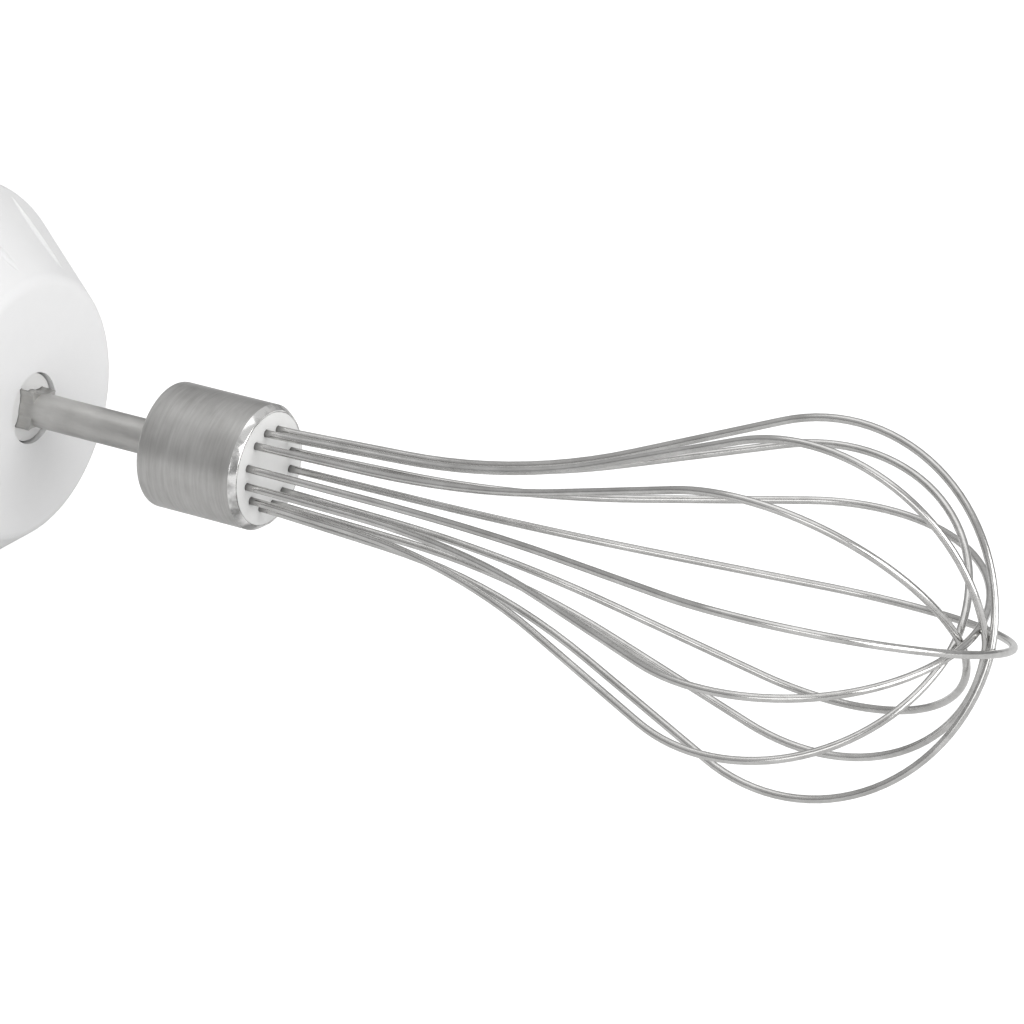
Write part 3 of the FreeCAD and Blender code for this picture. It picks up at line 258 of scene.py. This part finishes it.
FINISHES = {
    "white_housing": moulded(
        "satin_white_housing", (0.80, 0.80, 0.80), (0.775, 0.775, 0.778), 0.30, 5200.0, 0.00002,
        coat_weight=0.12, coat_roughness=0.22),
    "grey_plastic": moulded(
        "soft_grey_plastic", (0.235, 0.24, 0.25), (0.20, 0.205, 0.212), 0.48, 3600.0, 0.00004),
    "pale_plastic": moulded(
        "pale_clear_plastic", (0.80, 0.80, 0.79), (0.755, 0.755, 0.75), 0.24, 6400.0, 0.00001,
        coat_weight=0.2, coat_roughness=0.15),
    "button_plastic": moulded(
        "light_grey_buttons", (0.53, 0.54, 0.55), (0.48, 0.485, 0.495), 0.36, 4600.0, 0.00002),
    "gear_plastic": moulded(
        "milky_nylon", (0.74, 0.72, 0.66), (0.66, 0.64, 0.585), 0.34, 3000.0, 0.00002),
    "brushed_collar": metal(
        "brushed_collar_steel", (0.64, 0.635, 0.625), (0.44, 0.435, 0.425), 0.33, 150.0, 0.00001,
        (14.0, 1.0, 1.0)),
    "steel_shaft": metal(
        "drawn_shaft_steel", (0.62, 0.615, 0.60), (0.40, 0.395, 0.385), 0.30, 260.0, 0.00001,
        (0.35, 1.6, 1.6), 0.2),
    "motor_steel": metal(
        "plated_motor_steel", (0.62, 0.61, 0.58), (0.50, 0.49, 0.46), 0.30, 300.0, 0.00001),
    "magnet_ferrite": moulded(
        "ferrite", (0.075, 0.075, 0.08), (0.045, 0.045, 0.05), 0.55, 2400.0, 0.00006),
    "bronze": metal(
        "sintered_bronze", (0.62, 0.42, 0.22), (0.48, 0.31, 0.16), 0.34, 2600.0, 0.00003),
    "brass_parts": metal(
        "pressed_brass", (0.80, 0.62, 0.30), (0.68, 0.50, 0.22), 0.22, 500.0, 0.00001),
    "copper": metal(
        "enamelled_copper", (0.78, 0.36, 0.18), (0.58, 0.24, 0.11), 0.24, 1400.0, 0.00004),
    "carbon": moulded(
        "brush_carbon", (0.05, 0.05, 0.052), (0.028, 0.028, 0.03), 0.50, 3000.0, 0.00005),
    "board_laminate": moulded(
        "board_laminate", (0.10, 0.27, 0.13), (0.07, 0.21, 0.10), 0.35, 2200.0, 0.00002),
    "mark_white": moulded(
        "mark_white", (0.78, 0.78, 0.77), (0.72, 0.72, 0.71), 0.35, 5000.0, 0.00001),
    "switch_plastic": moulded(
        "switch_black", (0.05, 0.05, 0.055), (0.03, 0.03, 0.034), 0.40, 3200.0, 0.00002),
    "steel_wire": wire_steel(),
    "collar_edge": chamfer_with_painted_glints(),
}


def finish_cad_pieces():
    for piece in NODES.values():
        for number, material in enumerate(list(piece.data.materials)):
            piece.data.materials[number] = FINISHES[material.name.split(".")[0]]


def clear_selection():
    bpy.ops.object.select_all(action="DESELECT")


def begin(name):
    """Names the primitive just added and puts its place and turn into its mesh."""
    piece = bpy.context.object
    piece.name = name
    piece.data.name = name
    bpy.ops.object.transform_apply(location=True, rotation=True, scale=True)
    return piece


def choose(piece, wanted, kind="FACE"):
    """Selects only the faces or corners that are wanted, and leaves the piece in edit mode."""
    bpy.ops.object.mode_set(mode="EDIT")
    bpy.ops.mesh.select_mode(type=kind)
    bpy.ops.mesh.select_all(action="DESELECT")
    bpy.ops.object.mode_set(mode="OBJECT")
    for part in piece.data.polygons if kind == "FACE" else piece.data.vertices:
        part.select = wanted(part)
    bpy.ops.object.mode_set(mode="EDIT")


def draw_out(piece, axis, middle, reach):
    """Moves the two halves of a round apart along an axis, so that it becomes a round-ended bar."""
    away = Vector((0.0, 0.0, 0.0))
    away[axis] = reach
    choose(piece, lambda corner: corner.co[axis] > middle, "VERT")
    bpy.ops.transform.translate(value=away)
    choose(piece, lambda corner: corner.co[axis] <= middle, "VERT")
    bpy.ops.transform.translate(value=-away)
    bpy.ops.object.mode_set(mode="OBJECT")


def push_along(x):
    bpy.ops.mesh.extrude_region_move(TRANSFORM_OT_translate={"value": (x, 0.0, 0.0)})


def soften(piece, width, rounds, angle=35.0):
    """Breaks every edge sharper than the angle with a small round."""
    bpy.ops.object.mode_set(mode="OBJECT")
    bevel = piece.modifiers.new("broken_edges", "BEVEL")
    bevel.width = width
    bevel.segments = rounds
    bevel.limit_method = "ANGLE"
    bevel.angle_limit = radians(angle)
    bpy.ops.object.modifier_apply(modifier=bevel.name)


def fit(piece, body, slot, *finishes, crease=30.0, stands_for=()):
    """Smooths the piece between its creases, gives it its finishes and puts it on its body."""
    bpy.ops.object.mode_set(mode="OBJECT")
    bpy.ops.object.shade_smooth_by_angle(angle=radians(crease))
    for finish in finishes:
        piece.data.materials.append(FINISHES[finish])
    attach(piece, body)
    if stands_for:
        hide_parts(*stands_for)


def collar_sleeve():
    """The turned steel cup: brushed round its side, rounded at the back, with a buffed front chamfer."""
    low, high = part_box("whisk_collar")
    radius = (high.y - low.y) / 2
    front = high.x - CHAMFER_LENGTH
    clear_selection()
    bpy.ops.mesh.primitive_cylinder_add(
        vertices=COLLAR_SIDES, radius=radius, depth=front - low.x, rotation=(0.0, pi / 2, 0.0),
        location=((front + low.x) / 2, 0.0, AXIS_HEIGHT))
    piece = begin("collar_sleeve")
    choose(piece, lambda face: face.normal.x < -0.9)
    bpy.ops.mesh.bevel(offset=BACK_ROUND, segments=5, affect="EDGES")
    choose(piece, lambda face: face.normal.x > 0.9)
    push_along(CHAMFER_LENGTH)
    lip = 1 - CHAMFER_DROP / radius
    bpy.ops.transform.resize(value=(1.0, lip, lip), center_override=(high.x, 0.0, AXIS_HEIGHT))
    bpy.ops.mesh.inset(thickness=LIP_WIDTH)
    push_along(low.x + BACK_WALL - high.x)
    soften(piece, LIP_WIDTH / 4, 2)
    fit(piece, "whisk", "brushed_collar", "brushed_collar", "collar_edge", stands_for=("whisk_collar",))
    for face in piece.data.polygons:
        face.material_index = int(face.center.x > front + LIP_WIDTH / 8 and face.normal.x > 0.1)


def raised_mark(name, x, y, top, half_width, half_length, body):
    """A small raised bar with round ends and a broken edge."""
    clear_selection()
    bpy.ops.mesh.primitive_cylinder_add(
        vertices=MARK_SIDES, radius=half_width, depth=MARK_DEPTH,
        location=(x, y, top - MARK_DEPTH / 2 + MARK_PROUD))
    piece = begin(name)
    draw_out(piece, 1, y, half_length - half_width)
    soften(piece, half_width / 3, 2)
    fit(piece, body, "pale_plastic", "mark_white")


def button_cap(node, body, marks):
    """A moulded button: round-ended, crowned, with a broken edge, a shallow thumb dish and raised marks."""
    low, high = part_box(node)
    half_width = (high.y - low.y) / 2
    middle = (low.x + high.x) / 2
    edge = high.z - CROWN
    clear_selection()
    bpy.ops.mesh.primitive_cylinder_add(
        vertices=BUTTON_SIDES, radius=half_width, depth=edge - low.z,
        location=(middle, 0.0, (edge + low.z) / 2))
    piece = begin(node + "_cap")
    draw_out(piece, 0, middle, (high.x - low.x) / 2 - half_width)
    choose(piece, lambda face: face.normal.z > 0.9)
    for inward, share in CROWN_RINGS:
        bpy.ops.mesh.inset(thickness=inward)
        bpy.ops.transform.translate(value=(0.0, 0.0, CROWN * share))
    soften(piece, BUTTON_EDGE, 2, 50.0)
    fit(piece, body, "button_plastic", "button_plastic", crease=60.0, stands_for=(node,))
    for number in range(marks):
        raised_mark(
            node + "_mark_%d" % (number + 1), middle + (number - (marks - 1) / 2) * BUTTON_MARK_PITCH, 0.0,
            high.z - MARK_SEAT * CROWN, BUTTON_MARK_HALF_WIDTH, BUTTON_MARK_HALF_LENGTH, body)


def speed_marks():
    """Marks beside the slider's way, each longer than the one before."""
    low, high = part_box("speed_slider")
    middle = (low.x + high.x) / 2
    down = Vector((0.0, 0.0, -1.0))
    for number in range(SPEED_STEPS):
        x = middle + SLIDER_TRAVEL * (number / (SPEED_STEPS - 1) - 0.5)
        above = Vector((x, SPEED_MARK_SIDE, high.z + CLEAR_ABOVE))
        panel_top = NODES["control_panel"].ray_cast(above, down)[1].z
        raised_mark(
            "speed_mark_%d" % (number + 1), x, SPEED_MARK_SIDE, panel_top - MARK_PROUD / 2,
            SPEED_MARK_HALF_WIDTH, SPEED_MARK_SHORTEST + SPEED_MARK_GROWTH * number, "root")


def floor_sheet():
    """A pale light table: it glows where it is looked at, and is a mid grey to the object above it."""
    clear_selection()
    bpy.ops.mesh.primitive_plane_add(size=FLOOR_SIDE, location=(0.0, 0.0, CAD_BOX[0].z))
    floor = bpy.context.object
    floor.name = "studio_floor"
    finish = Finish("pale_floor", roughness=0.9, specular_ior_level=0.0, emission_strength=FLOOR_GLOW)
    seen = finish.add("ShaderNodeLightPath", output="Is Camera Ray")
    finish.set("Base Color", finish.blend(seen, (0.80, 0.80, 0.80), (0.30, 0.30, 0.30)))
    finish.set("Emission Color", finish.blend(seen, (0.0, 0.0, 0.0), (1.0, 1.0, 1.0)))
    floor.data.materials.append(finish.material)


def studio_room():
    """The room round the table: bright overhead, darker towards the horizon, and plain pale to the eye."""
    world = bpy.data.worlds.new("studio_room")
    world.use_nodes = True
    room = Nodes(world.node_tree)
    way = room.add("ShaderNodeTexCoord", output="Generated")
    height = room.add("ShaderNodeSeparateXYZ", {}, {"Vector": way}, "Z")
    level = room.add("ShaderNodeValToRGB", {"stops": ROOM_LEVELS}, {"Fac": height})
    seen = room.add("ShaderNodeLightPath", output="Is Camera Ray")
    shown = room.mix(seen, level, (1.0, 1.0, 1.0, 1.0))
    room.feed(world.node_tree.nodes["Background"].inputs["Color"], shown)
    bpy.context.scene.world = world


def softbox(name, place, width, height, power):
    """An area lamp aimed at the front of the collar."""
    lamp = bpy.data.lights.new(name, "AREA")
    lamp.shape = "RECTANGLE"
    lamp.size = width
    lamp.size_y = height
    lamp.energy = power
    holder = bpy.data.objects.new(name, lamp)
    bpy.context.scene.collection.objects.link(holder)
    holder.location = place
    holder.rotation_euler = (COLLAR_FRONT - Vector(place)).to_track_quat("-Z", "Y").to_euler()


def studio_camera():
    camera = bpy.data.cameras.new("studio_camera")
    camera.lens = CAMERA_LENS
    camera.sensor_width = 36.0
    camera.clip_start = 0.02
    camera.clip_end = 40.0
    stand = bpy.data.objects.new("studio_camera", camera)
    bpy.context.scene.collection.objects.link(stand)
    stand.location = COLLAR_FRONT + CAMERA_FROM_COLLAR
    level = cos(CAMERA_RISE)
    back = Vector((sin(CAMERA_TURN) * level, -cos(CAMERA_TURN) * level, sin(CAMERA_RISE)))
    stand.rotation_euler = (-back).to_track_quat("-Z", "Y").to_euler()
    bpy.context.scene.camera = stand
    bpy.context.scene.view_settings.view_transform = "Standard"


finish_cad_pieces()
floor_sheet()
studio_room()
collar_sleeve()
button_cap("on_button", "on_button_body", 1)
button_cap("turbo_button", "turbo_button_body", 3)
speed_marks()
for box in SOFTBOXES:
    softbox(*box)
studio_camera()
